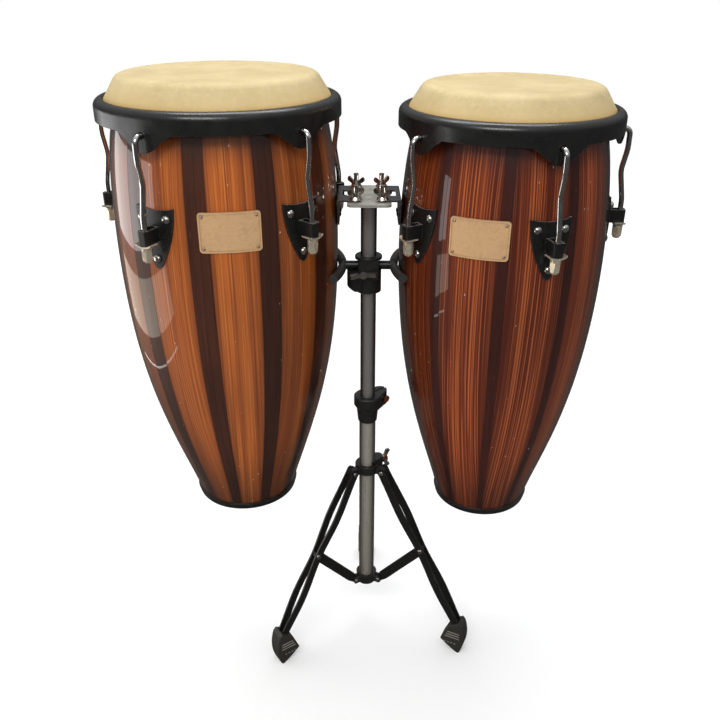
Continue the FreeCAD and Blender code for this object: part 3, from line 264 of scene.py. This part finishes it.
def brass(name):
    """Brushed and lacquered plate: horizontal brushing, stains, dark specks, a dark line along the
    border's edges.
    """
    p = Paint(name)
    here = p.place()
    brushed = p.noise(p.place((25, 25, 2600)), 1.0, 3.0, 0.7)
    stains = p.spread(p.noise(here, 85.0, 5.0, 0.65, 1.5), 0.42, 0.72)
    specks = p.spread(p.noise(here, 700.0, 3.0, 0.7), 0.68, 0.8)
    border = p.edge_mask(0.9 * MM, 0.01, 0.12)
    base = p.mix(brushed, (0.56, 0.33, 0.155), (0.76, 0.49, 0.26))
    base = p.mix(p.math("MULTIPLY", stains, 0.4), base, (0.46, 0.25, 0.12))
    base = p.mix(p.math("MULTIPLY", specks, 0.5), base, (0.20, 0.12, 0.06))
    base = p.mix(p.math("MULTIPLY", border, 0.75), base, (0.30, 0.17, 0.08))
    return p.finish(Base_Color=base, Metallic=0.3, Roughness=p.spread(brushed, 0.2, 0.8, 0.3, 0.45),
                    Normal=p.bump(brushed, 0.12, 0.1 * MM))


def lacquered_wood(name, light, deep, streak, stripe_width, regular, dark_stave, glow, depth):
    """Stained softwood staves under thick gloss lacquer.
    The mesh carries: across (metres from a stave's middle), edge (0 middle to 1 seam),
    dark (1 on the narrow staves), seed (a number per stave) and painted_shade, the painted shade (1 at
    both ends of the shell)."""
    p = Paint(name)
    across = p.attribute("across")
    edge = p.attribute("edge")
    seed = p.attribute("seed")
    height = p.add("ShaderNodeSeparateXYZ", Vector=p.place()).outputs["Z"]
    # grain runs up the stave, drifting 1.6 mm sideways, and is different on every stave
    drift = p.math("MULTIPLY", p.noise(p.place((5, 5, 5)), 1.0, 2.0), 1.6 * MM)
    grain = p.add("ShaderNodeCombineXYZ", X=p.math("ADD", across, drift),
                  Y=p.math("MULTIPLY", seed, 7.3), Z=p.math("MULTIPLY", height, 0.006)).outputs[0]
    wide = p.noise(grain, 60.0, 2.0, 0.5)
    waver = p.math("MULTIPLY", p.noise(grain, 110.0, 2.0, 0.5), 3.2)
    phase = p.math("ADD", p.math("MULTIPLY", p.math("ADD", across, drift), 1.0 / stripe_width), waver)
    ring = p.math("MULTIPLY", p.math("SINE", p.math("MULTIPLY", phase, 2 * math.pi)), regular)
    pin = p.math("ADD", p.noise(grain, 1.7 / stripe_width, 2.0, 0.55), ring)
    hair = p.noise(grain, 4.5 / stripe_width, 2.0, 0.6)
    base = p.mix(p.spread(wide, 0.36, 0.62), deep, light)
    base = p.mix(p.math("MULTIPLY", p.spread(pin, 0.58, 0.68), glow), base,
                 (min(1.0, light[0] * 2.1), light[1] * 2.9, light[2] * 4.0))
    base = p.mix(p.math("MULTIPLY", p.spread(pin, 0.50, 0.38), depth), base, streak)
    base = p.mix(p.math("MULTIPLY", p.spread(hair, 0.46, 0.34), 0.45), base, streak)
    base = p.mix(p.math("MULTIPLY", p.math("POWER", edge, 3.0), 0.8), base, streak)
    mottled = p.mix(p.spread(hair, 0.35, 0.65), dark_stave, tuple(c * 1.9 for c in dark_stave))
    base = p.mix(p.attribute("dark"), base, mottled)
    # tone: slow clouds, a painted shade darker towards the silhouette, and each stave its own
    tone = p.spread(p.noise(p.place((3, 3, 2)), 1.0, 2.0), 0.3, 0.7, 0.8, 1.15)
    turn = p.add("ShaderNodeLayerWeight", Blend=0.5).outputs["Facing"]
    tone = p.math("MULTIPLY", tone, p.spread(turn, 0.3, 0.95, 1.0, 0.25))
    own = p.math("FRACT", p.math("MULTIPLY", seed, 3.7))
    tone = p.math("MULTIPLY", tone, p.spread(own, 0.0, 1.0, 0.8, 1.14, smooth=False))
    base = p.mix(1.0, base, p.add("ShaderNodeCombineXYZ", X=tone, Y=tone, Z=tone).outputs[0], "MULTIPLY")
    # painted shade: a painted shadow under the rim, and darker towards the foot
    base = p.mix(p.math("MULTIPLY", p.attribute("painted_shade"), 0.9), base, tuple(c * 0.6 for c in dark_stave))
    # small chips and thin upright scratches, in a few patches
    nicks = p.spread(p.noise(p.place((230, 230, 90)), 1.0, 2.0, 0.5), 0.735, 0.765)
    nicks = p.math("MULTIPLY", nicks, p.spread(p.noise(p.place(), 9.0, 2.0), 0.5, 0.6))
    scratch = p.spread(p.noise(p.place((420, 420, 10)), 1.0, 2.0, 0.6), 0.73, 0.78)
    scratch = p.math("MULTIPLY", scratch, p.spread(p.noise(p.place((8, 8, 30)), 1.0, 2.0), 0.55, 0.65))
    base = p.mix(p.math("MULTIPLY", p.math("MAXIMUM", nicks, scratch), 0.6), base, (0.75, 0.66, 0.56))
    coat_normal = p.bump(p.noise(p.place(), 28.0, 2.0), 0.05, 1.0 * MM)
    hairline = p.noise(p.place((500, 500, 14)), 1.0, 2.0, 0.6)
    return p.finish(Base_Color=base, Roughness=p.spread(pin, 0.2, 0.8, 0.34, 0.46),
                    Specular_IOR_Level=0.25, Coat_Weight=1.0, Coat_IOR=1.5,
                    Coat_Roughness=p.spread(hairline, 0.55, 0.8, 0.02, 0.08),
                    Coat_Normal=coat_normal, Normal=p.bump(pin, 0.05, 0.3 * MM))


MATERIALS = {
    "black_steel": black_steel("black_steel", 0.007, 0.34),
    # lug plates and arms: painted highlight along their upper edges
    "lug_black": black_steel("lug_black", 0.007, 0.30, lit_edges=0.8),
    "arm_black": black_steel("arm_black", 0.030, 0.30, wear=0.4, lit_edges=0.5),
    "black_casting": black_steel("black_casting", 0.010, 0.42, 700.0, 0.35),
    "rim_black": black_steel("rim_black", 0.008, 0.29, 1800.0, 0.1),
    "chrome": plated("chrome", (0.74, 0.73, 0.71), 0.10, 0.3),
    "nickel": plated("nickel", (0.72, 0.69, 0.63), 0.17, 0.4),
    "nut_plate": plated("nut_plate", (0.76, 0.68, 0.51), 0.22, 0.3, metal=0.7),
    "top_plate": plated("top_plate", (0.56, 0.54, 0.47), 0.38, 0.25, metal=0.6),
    "rivet": plated("rivet", (0.55, 0.53, 0.49), 0.22, 0.5),
    "dark_chrome": tube_metal("dark_chrome", (0.42, 0.41, 0.39), 0.14, 0.7, 0.10),
    "satin_tube": tube_metal("satin_tube", (0.43, 0.40, 0.34), 0.26, 0.4, 0.18),
    "zinc_steel": plated("zinc_steel", (0.55, 0.55, 0.55), 0.3, 0.5),
    "rubber": rubber("rubber"),
    "boot": rubber("boot", (0.022, 0.020, 0.016)),
    # the ribs are moulded in the boot's rubber; their lighter tone is a painted highlight on the ridges
    "boot_rib_highlight": rubber("boot_rib_highlight", (0.17, 0.155, 0.13)),
    "rawhide": rawhide("rawhide"),
    "brass": brass("brass"),
    "left_wood": lacquered_wood(
        "left_wood", light=(0.42, 0.105, 0.013), deep=(0.25, 0.056, 0.009),
        streak=(0.125, 0.026, 0.006), stripe_width=3.6 * MM, regular=0.07,
        dark_stave=(0.032, 0.0085, 0.0035), glow=0.25, depth=0.45),
    "right_wood": lacquered_wood(
        "right_wood", light=(0.245, 0.042, 0.006), deep=(0.165, 0.023, 0.004),
        streak=(0.060, 0.0075, 0.0022), stripe_width=4.2 * MM, regular=0.15,
        dark_stave=(0.030, 0.0048, 0.0026), glow=0.75, depth=0.6),
}

SLOT_OF_NODE = {part["node"]: part["material_slot"] for part in frame["record"]["subparts"]}


def dress(obj, material):
    obj.data.materials.clear()
    obj.data.materials.append(MATERIALS[material])
    return obj


# ---- mesh helpers --------------------------------------------------------------------------

def make_object(name, bm, sharp=35.0):
    """Turn a bmesh into a smooth-shaded object whose edges above an angle stay sharp."""
    bmesh.ops.recalc_face_normals(bm, faces=bm.faces)
    limit = math.radians(sharp)
    for face in bm.faces:
        face.smooth = True
    for edge in bm.edges:
        edge.smooth = len(edge.link_faces) == 2 and edge.calc_face_angle(0.0) < limit
    mesh = bpy.data.meshes.new(name)
    bm.to_mesh(mesh)
    bm.free()
    obj = bpy.data.objects.new(name, mesh)
    bpy.context.scene.collection.objects.link(obj)
    return obj


def shell_outline(name, drum):
    """Smooth outer radius of a shell against height, read off the CAD staves."""
    co = np.array([v.co for v in frame["nodes"][name + "_shell_staves"].data.vertices])
    radius = np.hypot(co[:, 0] - drum["x"], co[:, 1])
    z = co[:, 2]
    keep = z < drum["top"] - 20 * MM
    radius, z = radius[keep], z[keep]
    bins = np.linspace(z.min(), z.max(), 120)
    spots = []
    for low, high in zip(bins, bins[1:]):
        inside = (z >= low) & (z <= high)
        if inside.any():
            widest = np.argmax(radius[inside])
            spots.append((z[inside][widest], radius[inside][widest]))
    spots = np.array(spots)
    middle, half = spots[:, 0].mean(), np.ptp(spots[:, 0]) / 2
    fit = np.polyfit((spots[:, 0] - middle) / half, spots[:, 1], 7)
    for _ in range(3):
        gap = spots[:, 1] - np.polyval(fit, (spots[:, 0] - middle) / half)
        near = gap > -1.0 * MM
        fit = np.polyfit((spots[near, 0] - middle) / half, spots[near, 1], 7)
    return lambda height: float(np.polyval(fit, (height - middle) / half))


# ---- drum shells ---------------------------------------------------------------------------

def build_shell(name, drum):
    """All staves of one drum as closed solids, with the attributes that the wood paint reads."""
    outline = shell_outline(name, drum)
    foot = drum["bottom"] + SHELL_FOOT_GAP
    crest = drum["top"] - SHELL_CREST_DEPTH
    levels = [foot + (crest - foot) * k / SHELL_ROWS for k in range(SHELL_ROWS + 1)]
    bm = bmesh.new()
    layers = {key: bm.verts.layers.float.new(key) for key in ("across", "edge", "dark", "seed", "painted_shade")}
    pitch = 360.0 / drum["pairs"]
    for k in range(drum["pairs"]):
        middle = drum["dark_phase"] + k * pitch
        half_dark = drum["dark_angle"] / 2
        half_light = (pitch - drum["dark_angle"]) / 2
        add_stave(bm, layers, drum, outline, levels, middle, half_dark, 1.0)
        add_stave(bm, layers, drum, outline, levels, middle + pitch / 2, half_light, 0.0)
    shell = make_object(name + "_shell", bm)
    dress(shell, name + "_wood")
    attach(shell, name + "_drum")
    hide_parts(name + "_shell_staves")


def add_stave(bm, layers, drum, outline, levels, centre, half_angle, dark):
    """One stave: a closed solid between two angles, its outer edges sunk to show the seam."""
    seed = rng.random() * 10
    columns = 5 if dark else 9
    seam = math.degrees(SEAM_WIDTH / drum["rim"])
    reach = half_angle - seam
    angles = [-half_angle, -reach]
    angles += [-reach + 2 * reach * (k + 1) / columns for k in range(columns)]
    angles.append(half_angle)
    outer = []
    inner = []
    for z in levels:
        radius = outline(z)
        rows = ([], [])
        for index, angle in enumerate(angles):
            sunk = SEAM_DEPTH if index in (0, len(angles) - 1) else 0.0
            way = direction(centre + angle)
            for row, r in zip(rows, (radius - sunk, radius - STAVE_THICKNESS)):
                vert = bm.verts.new((drum["x"] + way.x * r, way.y * r, z))
                vert[layers["across"]] = math.radians(angle) * radius
                vert[layers["edge"]] = abs(angle) / half_angle
                vert[layers["dark"]] = dark
                vert[layers["seed"]] = seed
                # painted shade under the rim and towards the foot
                vert[layers["painted_shade"]] = end_shade(drum, z)
                row.append(vert)
        outer.append(rows[0])
        inner.append(rows[1])
    skin_grid(bm, outer, inner)


def end_shade(drum, z):
    """Painted shade: a painted shadow under the rim, and darker towards the foot."""
    depth = drum["top"] - z
    up = max(0.0, 1 - max(0.0, depth - SHADE_TOP_DEPTH) / SHADE_TOP_LENGTH)
    down = max(0.0, 1 - (z - drum["bottom"]) / SHADE_FOOT_LENGTH)
    return max(up, 0.8 * down) ** 1.5


def skin_grid(bm, outer, inner):
    """Close two grids of vertices of the same size into one solid."""
    rows, columns = len(outer), len(outer[0])
    for i in range(rows - 1):
        for j in range(columns - 1):
            bm.faces.new((outer[i][j], outer[i][j + 1], outer[i + 1][j + 1], outer[i + 1][j]))
            bm.faces.new((inner[i][j], inner[i + 1][j], inner[i + 1][j + 1], inner[i][j + 1]))
    for j in range(columns - 1):
        bm.faces.new((outer[0][j], inner[0][j], inner[0][j + 1], outer[0][j + 1]))
        bm.faces.new((outer[-1][j], outer[-1][j + 1], inner[-1][j + 1], inner[-1][j]))
    for i in range(rows - 1):
        bm.faces.new((outer[i][0], outer[i + 1][0], inner[i + 1][0], inner[i][0]))
        bm.faces.new((outer[i][-1], inner[i][-1], inner[i + 1][-1], outer[i + 1][-1]))


# ---- heads ---------------------------------------------------------------------------------

def smooth_profile(points, steps=8):
    """Catmull-Rom curve through (radius, height) points."""
    ends = [points[0]] + list(points) + [points[-1]]
    curve = []
    for a, b, c, d in zip(ends, ends[1:], ends[2:], ends[3:]):
        for k in range(steps):
            t = k / steps
            curve.append(tuple(
                0.5 * (2 * q + (r - p) * t + (2 * p - 5 * q + 4 * r - s) * t * t
                       + (3 * q - 3 * r + s - p) * t ** 3)
                for p, q, r, s in zip(a, b, c, d)))
    return curve + [points[-1]]


def build_head(name, drum):
    """Skin with a flat playing surface, a rounded bearing edge and a slightly flared collar."""
    collar = drum["tuck"] - TUCK_WIDTH
    flat = collar - 32.0 * MM
    outer = [(flat, 0.0), (collar - 26.5 * MM, -0.6 * MM), (collar - 21.5 * MM, -2.4 * MM),
             (collar - 17.5 * MM, -5.8 * MM), (collar - 14 * MM, -11 * MM), (collar - 9 * MM, -19 * MM),
             (collar - 4 * MM, -27 * MM), (collar, -34 * MM), (collar, -44 * MM)]
    profile = [(r, 0.0) for r in np.linspace(0.0, flat, 14)[:-1]] + smooth_profile(outer)
    profile += [(max(0.0, r - HEAD_THICKNESS), z - HEAD_THICKNESS * (z > -30 * MM))
                for r, z in reversed(profile)]
    bm = bmesh.new()
    down = bm.verts.layers.float.new("down")
    rings = []
    for r, z in profile:
        ring = []
        for k in range(HEAD_SEGMENTS if r > 0 else 1):
            way = direction(360.0 * k / HEAD_SEGMENTS)
            vert = bm.verts.new((drum["x"] + way.x * r, way.y * r, drum["top"] + z))
            vert[down] = min(1.0, -z / RIM_TOP_DEPTH)
            ring.append(vert)
        rings.append(ring)
    for upper, lower in zip(rings, rings[1:]):
        for k in range(HEAD_SEGMENTS):
            n = (k + 1) % HEAD_SEGMENTS
            corners = [upper[k % len(upper)], lower[k % len(lower)],
                       lower[n % len(lower)], upper[n % len(upper)]]
            corners = list(dict.fromkeys(corners))
            if len(corners) > 2:
                bm.faces.new(corners)
    head = make_object(name + "_skin", bm)
    dress(head, "rawhide")
    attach(head, name + "_drum")
    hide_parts(name + "_head")


# ---- ribs on the boots ---------------------------------------------------------------------

BOOT_AZIMUTHS = {"front_left": -55.4, "front_right": 64.6, "rear": 180.4}
BOOT_HALF_WIDTH = 14.0 * MM
RIB_PROUD = 0.8 * MM
RIB_SUNK = 0.6 * MM
RIB_HALF_HEIGHT = 1.3 * MM
RIB_BEVEL = 0.5 * MM
# height, and how far from the stand's axis the rib starts and ends
LONG_RIBS = [(z * MM, (158.5 + 0.4 * z) * MM, 201 * MM) for z in (34.0, 40.0, 46.0)]
SHORT_RIBS = [(20 * MM, r * MM, (r + 4) * MM) for r in (171.0, 177.5, 184.0, 190.5)]


def build_ribs(leg, azimuth):
    """Moulded ribs along both flat sides of one boot, with a row of short ones below."""
    out = direction(azimuth)
    aside = direction(azimuth + 90)
    bm = bmesh.new()
    for side in (-1, 1):
        for z, start, end in LONG_RIBS + SHORT_RIBS:
            corners = []
            for proud, inset in ((-RIB_SUNK, 0.0), (RIB_PROUD, RIB_BEVEL)):
                near = start + inset
                far = end - inset
                half = RIB_HALF_HEIGHT - inset
                for r, rise in ((near, -half), (far, -half), (far, half), (near, half)):
                    place = out * r + aside * (side * (BOOT_HALF_WIDTH + proud))
                    corners.append(bm.verts.new((place.x, place.y, z + rise)))
            foot, crown = corners[:4], corners[4:]
            bm.faces.new(foot)
            bm.faces.new(crown)
            for k in range(4):
                n = (k + 1) % 4
                bm.faces.new((foot[k], foot[n], crown[n], crown[k]))
    ribs = make_object("boot_ribs_" + leg, bm)
    # painted highlight: the ribs are lighter than the boot they are moulded in
    dress(ribs, "boot_rib_highlight")
    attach(ribs, "leg_" + leg + "_body")


# ---- dress the CAD nodes that stay ---------------------------------------------------------

def loose_pieces(mesh):
    """Polygon indices of each separate solid, largest first."""
    owner = {}

    def root(key):
        while owner.setdefault(key, key) != key:
            owner[key] = owner[owner[key]]
            key = owner[key]
        return key

    spots = [tuple(round(c * 1e6) for c in v.co) for v in mesh.vertices]
    for polygon in mesh.polygons:
        first = spots[polygon.vertices[0]]
        for index in polygon.vertices[1:]:
            owner[root(spots[index])] = root(first)
    pieces = {}
    for polygon in mesh.polygons:
        pieces.setdefault(root(spots[polygon.vertices[0]]), []).append(polygon.index)
    return sorted(pieces.values(), key=lambda found: -span(mesh, found))


def span(mesh, polygons):
    co = np.array([mesh.vertices[i].co for k in polygons for i in mesh.polygons[k].vertices])
    return float(np.linalg.norm(np.ptp(co, axis=0)))


def plate_small_pieces(node, keep, material):
    """Give all but the largest separate solids of a CAD node a second material."""
    mesh = frame["nodes"][node].data
    mesh.materials.append(MATERIALS[material])
    for piece in loose_pieces(mesh)[keep:]:
        for index in piece:
            mesh.polygons[index].material_index = 1


def plate_washers(drum_name, drum, material):
    """Give the saddle washers, which stay outside the shell, their own material."""
    mesh = frame["nodes"][drum_name + "_shell_bolts"].data
    mesh.materials.append(MATERIALS[material])
    axis = Vector((drum["x"], 0.0))
    for piece in loose_pieces(mesh):
        corners = [mesh.vertices[i].co for k in piece for i in mesh.polygons[k].vertices]
        if min((co.xy - axis).length for co in corners) > drum["rim"] - 20 * MM:
            for index in piece:
                mesh.polygons[index].material_index = 1


# how a node's name ends, its number left off, and the finish it gets instead of its slot's
SPECIAL_FINISHES = (
    ("_rim", "rim_black"), ("_lug_plates", "lug_black"), ("_arm", "arm_black"),
    ("top_plate", "top_plate"), ("_tuning_nut_", "nut_plate"))

for node, obj in frame["nodes"].items():
    slot = SLOT_OF_NODE[node]
    dress(obj, {"lacquered_wood": "left_wood"}.get(slot, slot))
    for ending, other in SPECIAL_FINISHES:
        if node.rstrip("12345").endswith(ending):
            dress(obj, other)

for node, keep in (("leg_collar", 1), ("bottom_hub", 1), ("height_clamp", 1),
                   ("leg_front_left", 2), ("leg_front_right", 2), ("leg_rear", 2)):
    plate_small_pieces(node, keep, "rivet")

for leg, azimuth in BOOT_AZIMUTHS.items():
    dress(frame["nodes"]["foot_" + leg], "boot")
    build_ribs(leg, azimuth)

for drum_name, drum in DRUMS.items():
    plate_small_pieces(drum_name + "_badge", 1, "rivet")
    plate_washers(drum_name, drum, "nut_plate")
    build_shell(drum_name, drum)
    build_head(drum_name, drum)

# ---- floor, light, camera ------------------------------------------------------------------

FLOOR_SIZE = 8.0


def build_floor():
    bm = bmesh.new()
    bmesh.ops.create_grid(bm, x_segments=8, y_segments=8, size=FLOOR_SIZE / 2)
    floor = make_object("floor", bm)
    p = Paint("floor_pale")
    cloud = p.noise(p.place(), 1.2)
    base = p.mix(cloud, (0.86, 0.86, 0.86), (0.90, 0.90, 0.90))
    # painted reflection: to glossy rays the floor is dark, so shiny parts mirror a dark floor
    glossy = p.add("ShaderNodeLightPath").outputs["Is Glossy Ray"]
    base = p.mix(glossy, base, (0.07, 0.065, 0.06))
    away = p.add("ShaderNodeVectorMath", dict(operation="LENGTH"), i0=p.place()).outputs["Value"]
    glow = p.spread(away, 0.5, 3.0, 0.15, 0.45)
    seen = p.math("MULTIPLY", p.add("ShaderNodeLightPath").outputs["Is Camera Ray"], glow)
    floor.data.materials.append(p.finish(
        Base_Color=base, Roughness=0.8, Specular_IOR_Level=0.1,
        Emission_Color=(1.0, 1.0, 1.0), Emission_Strength=seen))


def add_light(name, place, target, width, height, power, colour=(1, 1, 1)):
    data = bpy.data.lights.new(name, "AREA")
    data.shape = "RECTANGLE"
    data.size = width
    data.size_y = height
    data.energy = power
    data.color = colour
    light = bpy.data.objects.new(name, data)
    light.visible_camera = False
    light.location = place
    light.rotation_euler = (Vector(target) - Vector(place)).to_track_quat("-Z", "Y").to_euler()
    bpy.context.scene.collection.objects.link(light)


def build_world():
    """White to the camera, an even white dome for soft light, a darker room in reflections."""
    world = bpy.data.worlds.new("studio")
    bpy.context.scene.world = world
    world.use_nodes = True
    tree = world.node_tree
    tree.nodes.clear()

    def link(a, b):
        tree.links.new(a, b)

    def background(colour, strength):
        node = tree.nodes.new("ShaderNodeBackground")
        node.inputs["Color"].default_value = (*colour, 1)
        node.inputs["Strength"].default_value = strength
        return node

    rays = tree.nodes.new("ShaderNodeLightPath")
    way = tree.nodes.new("ShaderNodeSeparateXYZ")
    link(tree.nodes.new("ShaderNodeTexCoord").outputs["Generated"], way.inputs[0])
    rise = tree.nodes.new("ShaderNodeMapRange")
    link(way.outputs["Z"], rise.inputs[0])
    for index, value in enumerate((0.05, 0.9, 0.07, 0.75), 1):
        rise.inputs[index].default_value = value
    seen = background((1.0, 1.0, 1.0), 1.0)
    dome = background((0.98, 0.99, 1.0), 0.78)
    room = background((0.95, 0.97, 1.0), 0.1)
    link(rise.outputs[0], room.inputs["Strength"])
    soft = tree.nodes.new("ShaderNodeMixShader")
    link(rays.outputs["Is Glossy Ray"], soft.inputs[0])
    link(dome.outputs[0], soft.inputs[1])
    link(room.outputs[0], soft.inputs[2])
    both = tree.nodes.new("ShaderNodeMixShader")
    link(rays.outputs["Is Camera Ray"], both.inputs[0])
    link(soft.outputs[0], both.inputs[1])
    link(seen.outputs[0], both.inputs[2])
    link(both.outputs[0], tree.nodes.new("ShaderNodeOutputWorld").inputs[0])


CAMERA_PLACE = (-0.0133, -1.1847, 1.174)
CAMERA_PITCH = 26.7
CAMERA_ROLL = 0.12
CAMERA_LENS = 39.07


def build_camera():
    data = bpy.data.cameras.new("camera")
    data.sensor_width = 36.0
    data.lens = CAMERA_LENS
    camera = bpy.data.objects.new("camera", data)
    tilt = Matrix.Rotation(math.radians(90 - CAMERA_PITCH), 4, "X")
    roll = Matrix.Rotation(math.radians(CAMERA_ROLL), 4, "Z")
    camera.matrix_world = Matrix.Translation(CAMERA_PLACE) @ tilt @ roll
    bpy.context.scene.collection.objects.link(camera)
    bpy.context.scene.camera = camera


build_floor()
build_world()
build_camera()
add_light("key", (-0.5, -1.7, 2.3), (-0.1, 0, 0.7), 1.2, 0.5, 20, (1.0, 0.98, 0.95))
add_light("window", (-1.9, 0.1, 0.62), (-0.2, 0, 0.62), 2.0, 0.62, 9)
add_light("low_window", (-1.45, 0.0, 0.19), (-0.2, 0, 0.45), 1.7, 0.28, 2.4, (1.0, 0.90, 0.76))
add_light("sill", (-1.15, 0.0, 0.05), (-0.2, 0, 0.40), 1.2, 0.012, 0.12)
add_light("top", (0.0, 0.35, 2.4), (0, 0, 0.8), 1.6, 0.5, 20)
bpy.context.scene.view_settings.view_transform = "Standard"
